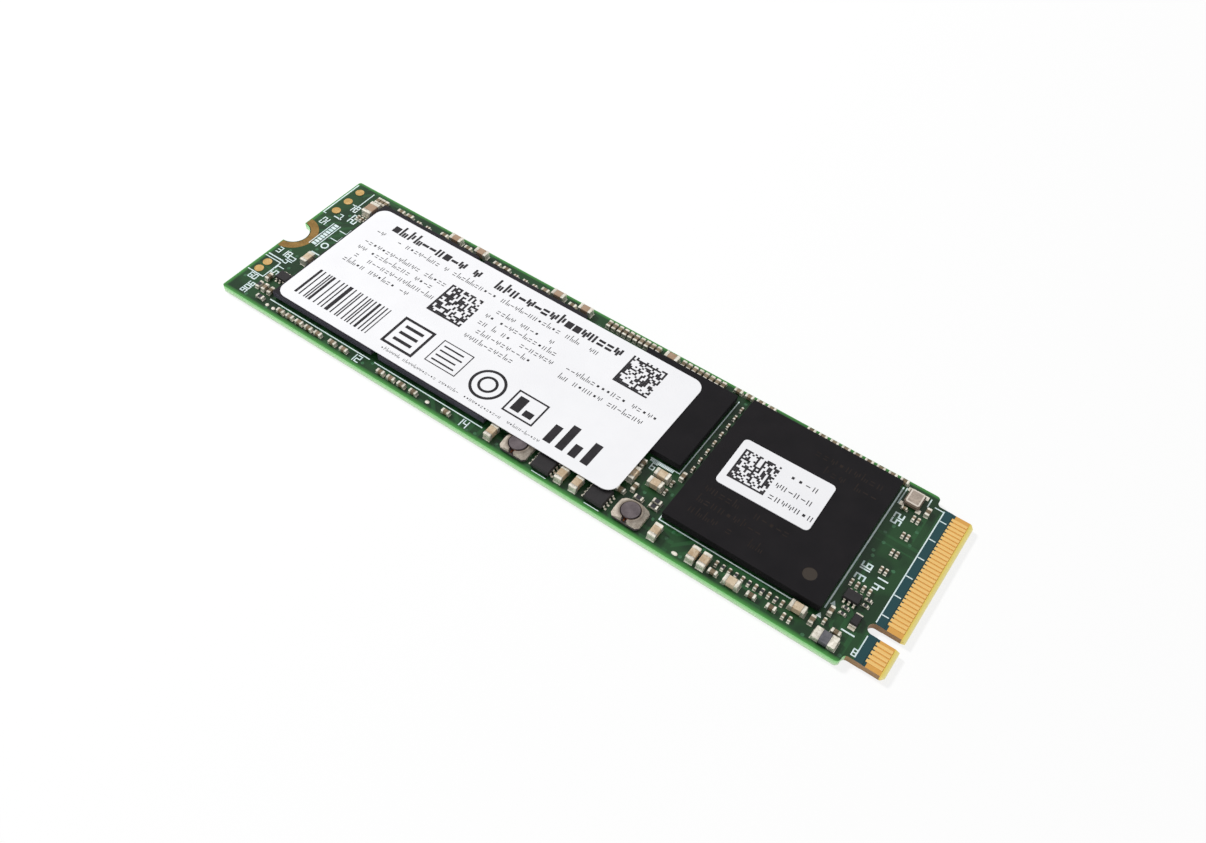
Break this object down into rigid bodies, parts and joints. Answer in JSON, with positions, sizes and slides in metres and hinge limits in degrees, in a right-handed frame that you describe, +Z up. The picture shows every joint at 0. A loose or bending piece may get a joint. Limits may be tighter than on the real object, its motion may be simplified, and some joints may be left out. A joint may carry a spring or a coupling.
{
  "type": "solid-state drive",
  "caption": "Slim circuit card storage drive with flash, memory and controller chips on one face, paper labels, a keyed gold edge connector and a screw half-hole.",
  "frame": {"origin": "middle of the card's underside", "axes": "+X along the card towards its edge contacts, +Y across it, +Z up through the chips"},
  "size_m": [0.08, 0.022, 0.002],
  "materials": {
    "solder_mask_board": "green solder mask over glass-epoxy laminate",
    "gold_contacts": "hard gold plating",
    "gold_pads": "immersion gold",
    "mould_compound": "moulded black epoxy, saw-cut sides",
    "solder": "reflowed solder",
    "label_paper": "coated label stock",
    "ferrite_shield": "sintered ferrite with a resin coat",
    "ferrite_core": "ground ferrite",
    "copper_wire": "enamelled copper wire",
    "tin_terminals": "matte tin with solder",
    "crystal_ceramic": "sintered ceramic",
    "crystal_metal": "plated lid",
    "capacitor_ceramic": "sintered ceramic",
    "resistor_glaze": "black glaze",
    "fuse_ceramic": "grey ceramic",
    "chip_mould": "moulded black epoxy"
  },
  "bodies": {
    "root": {"bottom_contacts": "gold_contacts", "circuit_board": "solder_mask_board", "controller_label": "label_paper", "controller_package": "mould_compound", "controller_solder_balls": "solder", "crystal_base": "crystal_ceramic", "crystal_lid": "crystal_metal", "crystal_pads": "solder", "diode_body": "chip_mould", "diode_leads": "tin_terminals", "dram_package": "mould_compound", "dram_solder_balls": "solder", "flash_1_solder_balls": "solder", "flash_2_solder_balls": "solder", "flash_package_1": "mould_compound", "flash_package_2": "mould_compound", "fuse_body": "fuse_ceramic", "fuse_terminals": "tin_terminals", "header_pads": "gold_pads", "inductor_1_core": "ferrite_core", "inductor_1_shield": "ferrite_shield", "inductor_1_terminals": "tin_terminals", "inductor_1_winding": "copper_wire", "inductor_2_core": "ferrite_core", "inductor_2_shield": "ferrite_shield", "inductor_2_terminals": "tin_terminals", "inductor_2_winding": "copper_wire", "large_capacitor_body": "capacitor_ceramic", "large_capacitor_terminals": "tin_terminals", "main_label": "label_paper", "medium_capacitors_bodies": "capacitor_ceramic", "medium_capacitors_terminals": "tin_terminals", "monitor_chip_body": "chip_mould", "monitor_chip_leads": "tin_terminals", "regulator_1_body": "chip_mould", "regulator_1_leads": "tin_terminals", "regulator_2_body": "chip_mould", "regulator_2_leads": "tin_terminals", "screw_pads": "gold_pads", "small_capacitors_bodies": "capacitor_ceramic", "small_capacitors_terminals": "tin_terminals", "small_resistors_bodies": "resistor_glaze", "small_resistors_terminals": "tin_terminals", "switch_chip_body": "chip_mould", "switch_chip_leads": "tin_terminals", "tiny_capacitors_bodies": "capacitor_ceramic", "tiny_capacitors_terminals": "tin_terminals", "tiny_resistors_bodies": "resistor_glaze", "tiny_resistors_terminals": "tin_terminals", "top_contacts": "gold_contacts"}
  },
  "joints": []
}
